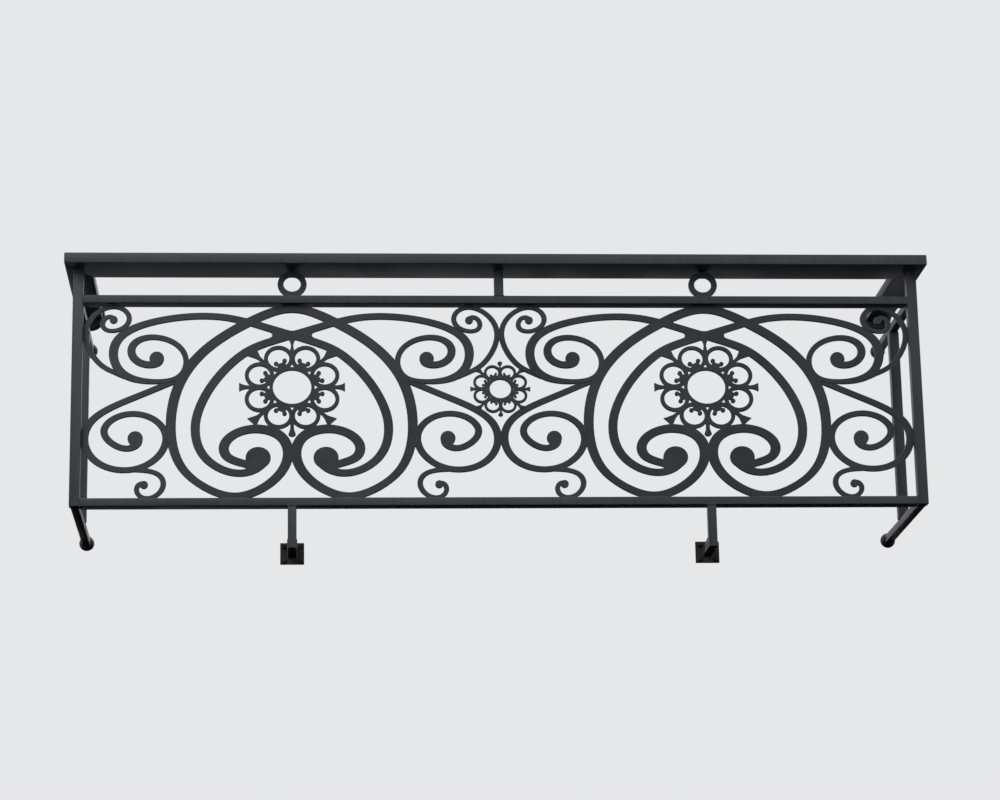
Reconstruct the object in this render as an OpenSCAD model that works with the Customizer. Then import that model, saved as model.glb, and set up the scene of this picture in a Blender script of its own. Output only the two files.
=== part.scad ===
// Iron balcony railing: three sides of box-section rails and posts, with two
// heart scrollwork panels on the front and brackets bolted to the slab's edge.
// X runs along the front, +Y points at the wall and +Z is up.
// The origin is on the back face of the left fixing plate.

/* [Overall] */
// Width of the front, across the outer faces of the corner posts
overall_w = 3150; // [2900:10:3500]
// Depth from the front faces to the wall
wall_depth = 710; // [640:10:900]
// Height from the underside of the bottom rail to the top of the handrail
guard_h = 941; // [880:1:1060]

/* [Handrail] */
// Thickness of the handrail
handrail_t = 40; // [30:1:50]
// Width of the front handrail
handrail_front_w = 184; // [170:1:200]
// How far the front handrail stands in front of the posts
handrail_nose = 73; // [60:1:80]
// Width of the side handrails
handrail_side_w = 96; // [80:1:110]
// How far the side handrails stand past the posts
handrail_side_nose = 29; // [20:1:35]

/* [Rails and posts] */
// Height of the rails
rail_h = 30; // [25:1:40]
// Depth of the front rails
rail_d = 60; // [50:1:70]
// Width of the side rails
side_rail_w = 30; // [24:1:36]
// Gap between the handrail and the top rail
frieze_h = 101; // [90:1:120]
// Side of the square posts
post_w = 38; // [36:1:45]
// Distance from the front faces to the front of the rear posts
rear_post_y = 362; // [340:1:400]

/* [Scrollwork] */
// Thickness of the scrollwork, front to back
scroll_t = 12; // [8:1:16]
// Width of the outer heart bar where it runs level
heart_w = 29; // [24:1:32]
// Width of the S-scroll bars, the inner heart, where they run level
s_scroll_w = 25; // [20:1:28]
// Width of the lower side scrolls where they run level
side_scroll_w = 21.5; // [18:0.5:24]
// Width of the small curls where they run level
curl_w = 17; // [13:1:19]
// How much wider a bar is where it runs upright
bar_stretch = 1.25; // [1:0.05:1.3]
// Half the height of the large eyes inside the heart
heart_eye_r = 41; // [36:1:44]
// Half the width of the large eyes inside the heart
heart_eye_wide_r = 46; // [38:1:48]
// Radius of the eyes of the volutes at the heart's shoulders
volute_eye_r = 27; // [20:1:28]
// Radius of the eyes of the lower side scrolls
side_eye_r = 28; // [20:1:30]
// Radius of the eyes of the small curls
curl_eye_r = 15; // [12:1:17]

/* [Rosettes] */
// Width of the bars of the large rosettes' petals
petal_bar = 15; // [12:1:17]
// Width of the rings in the middle of the large rosettes
rosette_bar = 12.5; // [10:0.5:15]
// Width of the bars of the centre rosette's petals
centre_petal_bar = 10; // [8:1:12]
// Width of the ring in the middle of the centre rosette
centre_rosette_bar = 9; // [7:1:11]

/* [Frieze] */
// Width of the frieze rings, which are as high as the frieze
ring_w = 108; // [96:1:120]
// Width of the band of the frieze rings
ring_band = 22; // [12:1:26]
// Side of the square spacer in the middle of the frieze
spacer_w = 34; // [24:1:36]

/* [Supports] */
// Side of the support posts
support_w = 32; // [24:1:36]
// How far the support posts hang below the bottom rail
support_drop = 157; // [145:1:180]
// Height of the stub that joins a support post to its plate
stub_h = 40; // [30:1:50]
// Distance from the front faces to the slab's edge
slab_y = 175; // [150:1:200]
// Width of a fixing plate
plate_w = 88; // [84:1:110]
// Height of a fixing plate
plate_h = 80; // [76:1:100]
// Thickness of a fixing plate
plate_t = 10; // [8:1:12]
// Height of a plate's centre above the underside of its stub
plate_rise = 14; // [10:1:20]
// Distance between the plate's bolt holes, sideways
bolt_dx = 62; // [58:1:64]
// Distance between the plate's bolt holes, up and down
bolt_dz = 56; // [50:1:58]
// Diameter of the bolt holes
bolt_hole_d = 11; // [9:1:12]

/* [Wall anchors] */
// Diameter of the balls at the wall ends of the side rails
anchor_d = 58; // [52:1:64]
// Distance from the centre of a rail's ball to the wall
anchor_set = 17; // [12:1:20]
// Diameter of the balls at the wall ends of the side handrails
handrail_anchor_d = 116; // [112:1:124]
// Distance from the centre of a handrail's ball to the wall
handrail_anchor_set = 34; // [26:1:40]

/* [Hidden] */

paint = "#3b4147";
plate_paint = "#2c2523";

// Heights of the rails above the underside of the bottom rail
handrail_z = guard_h - handrail_t;
top_rail_z = handrail_z - frieze_h - rail_h;

// One scrollwork module: half of the clear width between the corner posts
module_w = overall_w / 2 - post_w;
half_w = module_w / 2;
panel_h = top_rail_z - rail_h;
scroll_y = (rail_d - scroll_t) / 2;

// The drawing of the pattern was made for this half module and this height
drawn_half_w = 768.5;
drawn_h = 740;

// Ball ends: the rail stops at a flat on the ball, and the wall at another
anchor_flat = 0.75 * anchor_d / 2;
handrail_anchor_flat = 0.4 * handrail_anchor_d / 2;
side_rail_len = wall_depth - anchor_set - anchor_flat - post_w;
post_x = overall_w / 2 - post_w / 2;

// The left plate's back face carries the origin
plate_z = plate_rise - support_drop;

// Centre lines of the bars of half a module, as distances from the module's
// centre and from the top of the bottom rail, and how the bars swell and thin
// along their way, as shares of their width at even steps
outer_heart_line = [
    [0, 725], [50, 719], [97, 703], [165, 669], [237, 629], [298, 584], [350, 531], [393, 475],
    [429, 388], [443, 300], [432, 186], [403, 126], [352, 71], [298, 38], [235, 14], [185, 14],
    [130, 34], [69, 67], [27, 125], [15, 175], [30, 223], [60, 247], [100, 260], [150, 265],
    [202, 251], [238, 222], [249, 194], [242, 172], [226, 155], [205, 142], [138, 124]
];
outer_heart_taper = [1.1, 1.12, 1.1, 1.02, 0.87, 1, 1.02, 1.18, 1.05, 1.03, 0.95];
s_scroll_line = [
    [489, 538], [485, 524], [502, 511], [532, 511], [562, 520],
    [586, 543], [588, 577], [562, 604], [514, 615],
    [449, 605], [405, 568], [393, 530], [396, 497], [418, 464], [456, 449], [521, 447],
    [565, 452], [607, 469], [634, 492], [653, 530], [654, 578], [630, 615], [594, 641],
    [537, 665], [461, 686], [332, 697], [250, 692], [155, 671], [77, 646], [0, 622],
    [-100, 592], [-150, 569], [-200, 534], [-250, 485], [-300, 428], [-335, 350],
    [-350, 300], [-351, 255], [-340, 200], [-317, 152], [-250, 109], [-200, 101],
    [-160, 104], [-122, 118], [-100, 142]
];
s_scroll_taper = [0.95, 1.05, 0.94, 0.72, 0.56, 1.05, 1.1, 1, 1.02, 1.15, 1.1, 1.08, 1.08, 1.08];
side_scroll_line = [
    [562, 234], [557, 218], [569, 203], [590, 194], [614, 193],
    [643, 203], [677, 230], [683, 255], [676, 281], [642, 309],
    [593, 322], [532, 316], [480, 285], [465, 240], [465, 211], [480, 169], [519, 137],
    [562, 119], [608, 112], [662, 118], [716, 143], [743, 185], [756, 227], [744, 271],
    [717, 313], [657, 348], [581, 382], [519, 408], [480, 427], [423, 450]
];
side_scroll_taper = [1, 1.08, 1, 1, 1, 1, 1.05, 1.1, 1.05, 1];
lower_curl_line = [
    [532, 56], [540, 61], [554, 58], [565, 44], [561, 21], [540, 8], [515, 8], [485, 20],
    [467, 52], [474, 79], [495, 98], [525, 107], [565, 110], [608, 112]
];
upper_curl_line = [
    [652, 681], [659, 691], [673, 694], [688, 687], [697, 670], [693, 653], [679, 643], [655, 641],
    [620, 651], [597, 680], [612, 716], [655, 732], [704, 720], [748, 672], [760, 628],
    [747, 571], [711, 520], [686, 500], [655, 484], [620, 467], [590, 457], [555, 449]
];
curl_taper = [0.9, 0.88, 0.93, 1, 1];

// Rays of a large rosette, as distances from its centre and half widths
flared_spike = [[112, 9], [147, 6], [158, 8], [168, 11], [177, 16]];
held_spike = [[112, 9], [147, 6], [160, 8], [172, 13], [190, 21]];
pointed_spike = [[112, 9], [147, 6], [162, 7], [172, 10], [180, 13], [186, 9], [189, 3]];
top_spike = [[112, 9], [140, 7], [157, 4], [168, 5], [178, 9], [192, 14]];
dotted_spike = [[112, 9], [147, 5], [158, 6], [166, 12], [174, 15], [182, 11], [185, 4]];
petal_foot = [[66, 14], [99, 15]];

// Sizes of a large rosette, as distances from its centre
rosette_ring_r = 70;
petal_r = 42.5;
petal_at = 118;
lobe_r = 8.5;
lobe_at = 104;
lobe_turn = 8.5;
rosette_stretch = 1.1;

// Boss where the two bars of the inner heart cross, its height in the drawing,
// and the round ends of the filling between the bars at its sides
crossing_v = 624;
crossing_rx = 45;
crossing_ry = 17;
crossing_fill = 81;
crossing_fill_h = 28;
crossing_end_at = 84;
crossing_end_r = 10.5;

// Height of the rosettes' centre above the bottom rail in the drawing
rosette_v = 424;
centre_rosette_v = 417;

// Size of the centre rosette beside a large one
centre_rosette_size = 0.57;

// Centres of the eyes that end the bars, in the drawing
volute_eye_at = [497, 533];
heart_eye_at = [-124, 156];
side_eye_at = [572, 229];
lower_curl_eye_at = [538, 55];
upper_curl_eye_at = [657, 682];

// How far a round of smoothing moves the points of a bar's line towards the
// middle of their neighbours and back, how many rounds there are, and the move
// that brings the finished curve back onto its points
ease_in = 0.5;
ease_out = -0.56;
ease_rounds = 2;
ease_to_points = -1 / 3;

// Straight stretches of a bar's line from one of its points to the next
line_steps = 4;

// A point of the drawing on the real panel
function fit_point(p) = [p[0] * half_w / drawn_half_w, p[1] * panel_h / drawn_h];

// List of points, each but the ends moved by a share towards the middle of its neighbours
function eased(p, share) = [for (i = [0 : len(p) - 1])
    i == 0 || i == len(p) - 1 ? p[i] : p[i] + share * ((p[i - 1] + p[i + 1]) / 2 - p[i])];

// List of points after rounds that ease it and then undo the shrinking
function faired(p, rounds) = rounds == 0 ? p
    : faired(eased(eased(p, ease_in), ease_out), rounds - 1);

// Point of a smooth curve led by four points, at the share t of the middle stretch
function led_point(a, b, c, d, t) =
    (a * pow(1 - t, 3) + b * (3 * t * t * t - 6 * t * t + 4)
    + c * (1 + 3 * t + 3 * t * t - 3 * t * t * t) + d * t * t * t) / 6;

// Points of a smooth curve led by a list of points, from its first to its last
function smooth_line(p) = let (last = len(p) - 1) concat(
    [p[0]],
    [for (i = [0 : last - 1]) for (s = [0 : line_steps - 1])
        led_point(p[max(i - 1, 0)], p[i], p[i + 1], p[min(i + 2, last)], s / line_steps)],
    [p[last]]);

// Centre line of a bar on the real panel, from its points in the drawing
function bar_line(points) =
    smooth_line(eased(faired([for (p = points) fit_point(p)], ease_rounds), ease_to_points));

// Direction across a line at its point i, where the pattern is drawn unstretched
function across(line, i) = let (
    a = line[max(i - 1, 0)],
    b = line[min(i + 1, len(line) - 1)],
    d = [(b[0] - a[0]) / bar_stretch, b[1] - a[1]])
    [-d[1] * bar_stretch, d[0]] / norm(d);

// Value at the share t of the way through a list
function along(list, t) = let (
    place = t * (len(list) - 1),
    i = min(floor(place), len(list) - 2))
    list[i] + (list[i + 1] - list[i]) * (place - i);

// Points of the drawing, led up to by their mirror image on the module's other side
function from_mirror_image(p) = concat([for (i = [len(p) - 1 : -1 : 1]) [-p[i][0], p[i][1]]], p);

// Flat bar along a line from its point number first on: its width is w where it runs level
module band(points, w, taper, first = 0) {
    line = bar_line(points);
    last = len(line) - 1;
    reach = [for (i = [first : last])
        across(line, i) * w * along(taper, (i - first) / (last - first)) / 2];
    linear_extrude(scroll_t) polygon(concat(
        [for (i = [first : last]) line[i] + reach[i - first]],
        [for (i = [last : -1 : first]) line[i] - reach[i - first]]));
}

// Eye at a point of the drawing, wide and high by the given radii
module eye(p, rx, ry) {
    translate(fit_point(p)) {
        if (rx == ry) cylinder(r = rx, h = scroll_t);
        else linear_extrude(scroll_t) polygon(oval_points(rx, ry, 64));
    }
}

// Copies half of a pattern to the other side of its module
module both_halves() {
    children();
    mirror([1, 0, 0]) children();
}

// Points of an oval, wide and high by the given radii
function oval_points(rx, ry, sides) = [for (i = [0 : sides - 1])
    [rx * cos(360 * i / sides), ry * sin(360 * i / sides)]];

// Flat oval ring of even width
module oval_ring(rx, ry, bar, sides) {
    linear_extrude(scroll_t) polygon(
        concat(oval_points(rx + bar / 2, ry + bar / 2, sides),
            oval_points(rx - bar / 2, ry - bar / 2, sides)),
        [[for (i = [0 : sides - 1]) i], [for (i = [0 : sides - 1]) sides + i]]);
}

// Point of a rosette at a distance and an angle from its centre
function rosette_point(r, angle, size) =
    fit_point([r * size * rosette_stretch * cos(angle), r * size * sin(angle)]);

// Flat piece that points away from the rosette's centre
module ray(outline, angle, size) {
    last = len(outline) - 1;
    other_side = [for (i = [last : -1 : 0]) [outline[i][0], -outline[i][1]]];
    linear_extrude(scroll_t) polygon([for (p = concat(outline, other_side))
        rosette_point(norm(p), angle + atan2(p[1], p[0]), size)]);
}

// Ring round a point of a rosette
module rosette_ring(r, bar, at, angle, size, sides) {
    reach = fit_point([r * size * rosette_stretch, r * size]);
    translate(rosette_point(at, angle, size)) oval_ring(reach[0], reach[1], bar, sides);
}

// Rosette: ring, eight round petals with a pair of lobes at each foot, and
// eight rays between them: the slanting ones run into the bars around it
module rosette(size, bar, ring_bar, top, bottom) {
    rays = [flared_spike, held_spike, top, held_spike,
        flared_spike, held_spike, bottom, held_spike];
    union() {
        rosette_ring(rosette_ring_r, ring_bar, 0, 0, size, 56);
        for (k = [0 : 7]) {
            petal = 22.5 + 45 * k;
            rosette_ring(petal_r, bar, petal_at, petal, size, 32);
            ray(petal_foot, petal, size);
            for (turn = [-lobe_turn, lobe_turn])
                translate(rosette_point(lobe_at, petal + turn, size))
                    cylinder(r = lobe_r * size, h = scroll_t, $fn = 24);
            ray(rays[k], 45 * k, size);
        }
    }
}

// The clear opening of one module, which trims the bars against the frame
module opening() {
    translate([-half_w, 0, 0]) cube([module_w, panel_h, scroll_t]);
}

module outer_heart_bar() {
    band(from_mirror_image(outer_heart_line), heart_w, outer_heart_taper,
        line_steps * (len(outer_heart_line) - 1) + 1);
}

module s_scroll_bar() {
    band(s_scroll_line, s_scroll_w, s_scroll_taper);
}

module crossing_boss() {
    eye([0, crossing_v], crossing_rx, crossing_ry);
    translate(fit_point([0, crossing_v])) linear_extrude(scroll_t) difference() {
        square([2 * crossing_fill, crossing_fill_h], center = true);
        for (side = [-1, 1]) translate([side * crossing_end_at, 0]) circle(r = crossing_end_r);
    }
}

module heart_pattern() {
    intersection() {
        union() {
            both_halves() {
                outer_heart_bar();
                s_scroll_bar();
                eye(volute_eye_at, volute_eye_r, volute_eye_r);
                eye(heart_eye_at, heart_eye_wide_r, heart_eye_r);
            }
            translate(fit_point([0, rosette_v]))
                rosette(1, petal_bar, rosette_bar, top_spike, pointed_spike);
            crossing_boss();
        }
        opening();
    }
}

module side_scroll_pattern() {
    difference() {
        intersection() {
            union() {
                band(side_scroll_line, side_scroll_w, side_scroll_taper);
                eye(side_eye_at, side_eye_r, side_eye_r);
                band(lower_curl_line, curl_w, curl_taper);
                eye(lower_curl_eye_at, curl_eye_r, curl_eye_r);
            }
            opening();
        }
        outer_heart_bar();
        s_scroll_bar();
    }
}

module upper_curl_pattern() {
    difference() {
        intersection() {
            union() {
                band(upper_curl_line, curl_w, curl_taper);
                eye(upper_curl_eye_at, curl_eye_r, curl_eye_r);
            }
            opening();
        }
        s_scroll_bar();
    }
}

// Stands a flat pattern up between the rails, on one module's centre
module stand_panel(x) {
    translate([x, scroll_y + scroll_t, rail_h]) rotate([90, 0, 0]) children();
}

module place() {
    translate([half_w, -slab_y, -plate_z]) children();
}

module rail_paint() {
    color(paint) place() children();
}

// Handrail: side pieces mitred into the front piece
handrail_x = overall_w / 2 + handrail_side_nose;
handrail_in_x = handrail_x - handrail_side_w;
handrail_in_y = handrail_front_w - handrail_nose;
handrail_end_y = wall_depth - handrail_anchor_set - handrail_anchor_flat;

module handrail_front() {
    rail_paint() translate([0, 0, handrail_z]) linear_extrude(handrail_t) polygon([
        [-handrail_x, -handrail_nose], [handrail_x, -handrail_nose],
        [handrail_in_x, handrail_in_y], [-handrail_in_x, handrail_in_y]]);
}

module handrail_side(side) {
    rail_paint() translate([0, 0, handrail_z]) linear_extrude(handrail_t) polygon([
        [side * handrail_x, -handrail_nose], [side * handrail_x, handrail_end_y],
        [side * handrail_in_x, handrail_end_y], [side * handrail_in_x, handrail_in_y]]);
}

module front_rail(z) {
    rail_paint() translate([-module_w, 0, z]) cube([2 * module_w, rail_d, rail_h]);
}

module side_rail(side, z) {
    rail_paint() translate([side * post_x - side_rail_w / 2, post_w, z])
        cube([side_rail_w, side_rail_len, rail_h]);
}

module corner_post(side) {
    rail_paint() translate([side * post_x - post_w / 2, 0, 0]) cube([post_w, post_w, handrail_z]);
}

module rear_post(side) {
    rail_paint() translate([side * post_x - post_w / 2, rear_post_y, rail_h])
        cube([post_w, post_w, panel_h]);
}

module heart_panel(side) {
    rail_paint() stand_panel(side * half_w) heart_pattern();
}

// Scrolls beside a heart: way is -1 on its left and 1 on its right
module side_scroll(side, way) {
    rail_paint() stand_panel(side * half_w) turn_way(way) side_scroll_pattern();
}

module upper_curl(side, way) {
    rail_paint() stand_panel(side * half_w) turn_way(way) upper_curl_pattern();
}

module turn_way(way) {
    if (way > 0) children();
    else mirror([1, 0, 0]) children();
}

module centre_rosette() {
    rail_paint() stand_panel(0) difference() {
        translate(fit_point([0, centre_rosette_v])) rosette(centre_rosette_size,
            centre_petal_bar, centre_rosette_bar, dotted_spike, dotted_spike);
        for (side = [-1, 1]) translate([side * half_w, 0, 0]) turn_way(-side) {
            side_scroll_pattern();
            upper_curl_pattern();
        }
    }
}

module frieze_ring(side) {
    rail_paint() translate([side * half_w, scroll_y + scroll_t, handrail_z - frieze_h / 2])
        rotate([90, 0, 0]) oval_ring((ring_w - ring_band) / 2, (frieze_h - ring_band) / 2, ring_band, 64);
}

module frieze_spacer() {
    rail_paint() translate([-spacer_w / 2, 0, handrail_z - frieze_h])
        cube([spacer_w, spacer_w, frieze_h]);
}

module support_post(side) {
    rail_paint() translate([side * half_w - support_w / 2, 0, -support_drop])
        cube([support_w, support_w, support_drop]);
}

module support_stub(side) {
    rail_paint() translate([side * half_w - support_w / 2, support_w, -support_drop])
        cube([support_w, slab_y - plate_t - support_w, stub_h]);
}

module fixing_plate(side) {
    color(plate_paint) place() translate([side * half_w, slab_y, plate_z]) rotate([90, 0, 0])
        difference() {
            linear_extrude(plate_t) translate([-plate_w / 2, -plate_h / 2]) square([plate_w, plate_h]);
            for (x = [-1, 1]) for (z = [-1, 1])
                translate([x * bolt_dx / 2, z * bolt_dz / 2, -1])
                    cylinder(d = bolt_hole_d, h = plate_t + 2, $fn = 32);
        }
}

// Ball with a flat towards the rail and a flat on the wall
module ball_end(x, z, d, flat, set) {
    rail_paint() translate([x, wall_depth - set, z])
        rotate([-90, 0, 0]) rotate_extrude($fn = 64) intersection() {
            circle(d = d, $fn = 64);
            translate([0, -flat]) square([d, flat + set]);
        }
}

module wall_anchor(side, z) {
    ball_end(side * post_x, z + rail_h / 2, anchor_d, anchor_flat, anchor_set);
}

module handrail_anchor(side) {
    ball_end(side * (handrail_x - handrail_side_w / 2), handrail_z + handrail_t / 2,
        handrail_anchor_d, handrail_anchor_flat, handrail_anchor_set);
}

handrail_front();
handrail_side(-1);  // handrail_left
handrail_side(1);  // handrail_right
front_rail(top_rail_z);  // top_rail_front
side_rail(-1, top_rail_z);  // top_rail_left
side_rail(1, top_rail_z);  // top_rail_right
front_rail(0);  // bottom_rail_front
side_rail(-1, 0);  // bottom_rail_left
side_rail(1, 0);  // bottom_rail_right
corner_post(-1);  // corner_post_left
corner_post(1);  // corner_post_right
rear_post(-1);  // rear_post_left
rear_post(1);  // rear_post_right
heart_panel(-1);  // heart_panel_left
heart_panel(1);  // heart_panel_right
side_scroll(-1, -1);  // outer_scroll_left
side_scroll(-1, 1);  // inner_scroll_left
side_scroll(1, -1);  // inner_scroll_right
side_scroll(1, 1);  // outer_scroll_right
upper_curl(-1, -1);  // outer_curl_left
upper_curl(-1, 1);  // inner_curl_left
upper_curl(1, -1);  // inner_curl_right
upper_curl(1, 1);  // outer_curl_right
centre_rosette();
frieze_ring(-1);  // frieze_ring_left
frieze_ring(1);  // frieze_ring_right
frieze_spacer();
support_post(-1);  // support_post_left
support_post(1);  // support_post_right
support_stub(-1);  // support_stub_left
support_stub(1);  // support_stub_right
fixing_plate(-1);  // fixing_plate_left
fixing_plate(1);  // fixing_plate_right
wall_anchor(-1, top_rail_z);  // wall_anchor_top_left
wall_anchor(-1, 0);  // wall_anchor_bottom_left
wall_anchor(1, top_rail_z);  // wall_anchor_top_right
wall_anchor(1, 0);  // wall_anchor_bottom_right
handrail_anchor(-1);  // handrail_anchor_left
handrail_anchor(1);  // handrail_anchor_right
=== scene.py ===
"""The dressed model of an iron balcony railing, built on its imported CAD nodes.

Lengths are in metres. X runs along the front, +Y points at the wall and +Z is up, and the
origin is on the back face of the left fixing plate.
"""

import logging
import math
from dataclasses import dataclass
from enum import Enum
from typing import Iterator, Sequence

import bmesh
import bpy
from mathutils import Matrix, Vector
from mathutils.bvhtree import BVHTree


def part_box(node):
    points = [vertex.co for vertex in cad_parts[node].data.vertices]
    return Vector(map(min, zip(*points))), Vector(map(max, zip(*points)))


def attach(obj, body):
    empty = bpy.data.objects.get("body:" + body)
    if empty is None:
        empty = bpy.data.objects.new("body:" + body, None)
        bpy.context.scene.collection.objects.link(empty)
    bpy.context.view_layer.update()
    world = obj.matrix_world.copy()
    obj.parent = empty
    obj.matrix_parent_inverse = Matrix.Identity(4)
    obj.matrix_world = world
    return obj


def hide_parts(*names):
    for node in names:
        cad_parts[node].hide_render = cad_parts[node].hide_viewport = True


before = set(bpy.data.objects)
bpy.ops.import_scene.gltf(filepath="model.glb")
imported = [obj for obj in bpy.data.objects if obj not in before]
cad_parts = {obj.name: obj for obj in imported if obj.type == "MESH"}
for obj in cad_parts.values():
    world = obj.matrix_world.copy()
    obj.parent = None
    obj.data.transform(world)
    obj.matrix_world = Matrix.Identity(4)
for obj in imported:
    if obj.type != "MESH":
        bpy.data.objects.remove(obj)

LOG = logging.getLogger("balcony_railing")

Triple = tuple[float, float, float]
Colour = Triple
Socket = bpy.types.NodeSocket

MM = 0.001
BODY = "root"

# Faces that turn less than this from each other are one flat face.
FLAT_TURN = math.radians(1.0)
# Edges that turn more than this are rounded.
SHARP_TURN = math.radians(30.0)
# Edges that turn less than this are shaded as one smooth surface.
SHADE_TURN = math.radians(38.0)


class Side(Enum):
    """The two ends of the railing, as seen from the street."""

    LEFT = -1
    RIGHT = 1

    @property
    def word(self) -> str:
        """The side's name, as the nodes' names end."""
        return self.name.lower()


class Slot(Enum):
    """The material slots."""

    RAILING = "railing_paint"
    SCROLL = "scroll_paint"
    BALL = "ball_paint"
    PLATE = "plate_paint"


def rgba(colour: Colour) -> tuple[float, float, float, float]:
    """An opaque colour for a node's socket."""
    return (*colour, 1.0)


class PaintShop:
    """A material's node tree, with one call for each kind of node that the finishes use."""

    # Places of a Mix node's colour sockets, whose names its other sockets share.
    MIX_UNDER = 6
    MIX_OVER = 7
    MIX_RESULT = 2

    def __init__(self, name: str) -> None:
        """Starts an empty material.

        Args:
            name: The material's name.
        """
        self.material = bpy.data.materials.new(name)
        self.material.use_nodes = True
        self.tree = self.material.node_tree
        self.shader = self.tree.nodes["Principled BSDF"]
        self.place = self.node("ShaderNodeTexCoord").outputs["Object"]

    def node(self, kind: str) -> bpy.types.Node:
        """Adds a node of one kind."""
        return self.tree.nodes.new(kind)

    def feed(self, socket: Socket, value: Socket | float | Sequence[float]) -> None:
        """Links an output to a socket, or sets the socket.

        Args:
            socket: The input to fill.
            value: An output of another node, or a plain value.
        """
        if isinstance(value, Socket):
            self.tree.links.new(value, socket)
        else:
            socket.default_value = value

    def noise(self, scale: float, detail: float, stretch: Triple = (1.0, 1.0, 1.0),
              offset: Triple = (0.0, 0.0, 0.0)) -> Socket:
        """Cloudy noise over the object.

        Args:
            scale: Features per metre.
            detail: Octaves of finer noise.
            stretch: Factors along X, Y and Z, small where the features run long.
            offset: Shift of the pattern, in metres.

        Returns:
            The noise from 0 to 1, mostly near a half.
        """
        mapping = self.node("ShaderNodeMapping")
        self.feed(mapping.inputs["Vector"], self.place)
        mapping.inputs["Scale"].default_value = stretch
        mapping.inputs["Location"].default_value = offset
        texture = self.node("ShaderNodeTexNoise")
        self.feed(texture.inputs["Vector"], mapping.outputs["Vector"])
        texture.inputs["Scale"].default_value = scale
        texture.inputs["Detail"].default_value = detail
        return texture.outputs[0]

    def span(self, value: Socket, low: float, high: float, to_low: float = 0.0,
             to_high: float = 1.0) -> Socket:
        """Stretches a value smoothly from one span to another.

        Args:
            value: The value to stretch.
            low: Where the result is to_low.
            high: Where the result is to_high.
            to_low: The first result.
            to_high: The last result.

        Returns:
            The stretched value, held at its ends.
        """
        stretch = self.node("ShaderNodeMapRange")
        stretch.interpolation_type = "SMOOTHSTEP"
        self.feed(stretch.inputs["Value"], value)
        stretch.inputs["From Min"].default_value = low
        stretch.inputs["From Max"].default_value = high
        stretch.inputs["To Min"].default_value = to_low
        stretch.inputs["To Max"].default_value = to_high
        return stretch.outputs["Result"]

    def combine(self, operation: str, first: Socket, second: Socket | float = 0.0) -> Socket:
        """Works out one of Blender's math operations.

        Args:
            operation: The operation's name.
            first: Its first value.
            second: Its second value, which some operations leave unused.

        Returns:
            The result.
        """
        math_node = self.node("ShaderNodeMath")
        math_node.operation = operation
        self.feed(math_node.inputs[0], first)
        self.feed(math_node.inputs[1], second)
        return math_node.outputs[0]

    def product(self, first: Socket, *others: Socket | float) -> Socket:
        """Multiplies values.

        Args:
            first: The first value.
            others: The values to multiply it by.

        Returns:
            The product.
        """
        for other in others:
            first = self.combine("MULTIPLY", first, other)
        return first

    def blend(self, share: Socket, under: Socket | Colour, over: Socket | Colour) -> Socket:
        """Lays one colour over another.

        Args:
            share: How much of the upper colour shows.
            under: The lower colour.
            over: The upper colour.

        Returns:
            The mixed colour.
        """
        mix = self.node("ShaderNodeMix")
        mix.data_type = "RGBA"
        self.feed(mix.inputs[0], share)
        for place, colour in ((self.MIX_UNDER, under), (self.MIX_OVER, over)):
            self.feed(mix.inputs[place], colour if isinstance(colour, Socket) else rgba(colour))
        return mix.outputs[self.MIX_RESULT]

    def facing_up(self, level_from: float = 0.25, level_to: float = 0.95) -> Socket:
        """Finds the tops, where dust settles.

        Args:
            level_from: The normal's upward part below which a face counts as a wall.
            level_to: The upward part from which a face counts as a top.

        Returns:
            0 on walls and undersides, rising to 1 on tops.
        """
        split = self.node("ShaderNodeSeparateXYZ")
        self.feed(split.inputs[0], self.node("ShaderNodeNewGeometry").outputs["Normal"])
        return self.span(split.outputs["Z"], level_from, level_to)

    def edges(self, radius: float, flat: float = 0.995, bent: float = 0.86) -> Socket:
        """Finds the edges, where paint rubs off.

        Args:
            radius: How far an edge is felt.
            flat: Agreement of the plain and the rounded normal that counts as an open face.
            bent: Agreement of the two that counts as an edge.

        Returns:
            1 on an edge, falling to 0 on open faces.
        """
        rounded = self.node("ShaderNodeBevel")
        rounded.samples = 4
        rounded.inputs["Radius"].default_value = radius
        compare = self.node("ShaderNodeVectorMath")
        compare.operation = "DOT_PRODUCT"
        self.feed(compare.inputs[0], rounded.outputs[0])
        self.feed(compare.inputs[1], self.node("ShaderNodeNewGeometry").outputs["True Normal"])
        return self.span(compare.outputs["Value"], flat, bent)

    def relief(self, *layers: tuple[Socket, float]) -> None:
        """Raises the surface by one or more patterns.

        Args:
            layers: Pairs of a pattern and its height in metres.
        """
        normal: Socket | None = None
        for pattern, height in layers:
            bump = self.node("ShaderNodeBump")
            bump.inputs["Distance"].default_value = height
            self.feed(bump.inputs["Height"], pattern)
            if normal is not None:
                self.feed(bump.inputs["Normal"], normal)
            normal = bump.outputs["Normal"]
        self.feed(self.shader.inputs["Normal"], normal)


@dataclass(frozen=True)
class Mottle:
    """Soft-edged patches of cloudy noise.

    Attributes:
        scale: Features per metre.
        detail: Octaves of finer noise.
        low: The noise at which a patch begins.
        high: The noise at which it is full.
        least: Its strength where it hasn't begun.
        most: Its strength where it is full.
        stretch: Factors along X, Y and Z, small where the patches run long.
        offset: Shift of the pattern, in metres.
    """

    scale: float
    detail: float
    low: float
    high: float
    least: float = 0.0
    most: float = 1.0
    stretch: Triple = (1.0, 1.0, 1.0)
    offset: Triple = (0.0, 0.0, 0.0)

    def on(self, shop: PaintShop) -> Socket:
        """Spreads the patches over a material.

        Args:
            shop: The material that is being mixed.

        Returns:
            The patches' strength.
        """
        noise = shop.noise(self.scale, self.detail, self.stretch, self.offset)
        return shop.span(noise, self.low, self.high, self.least, self.most)


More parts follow.
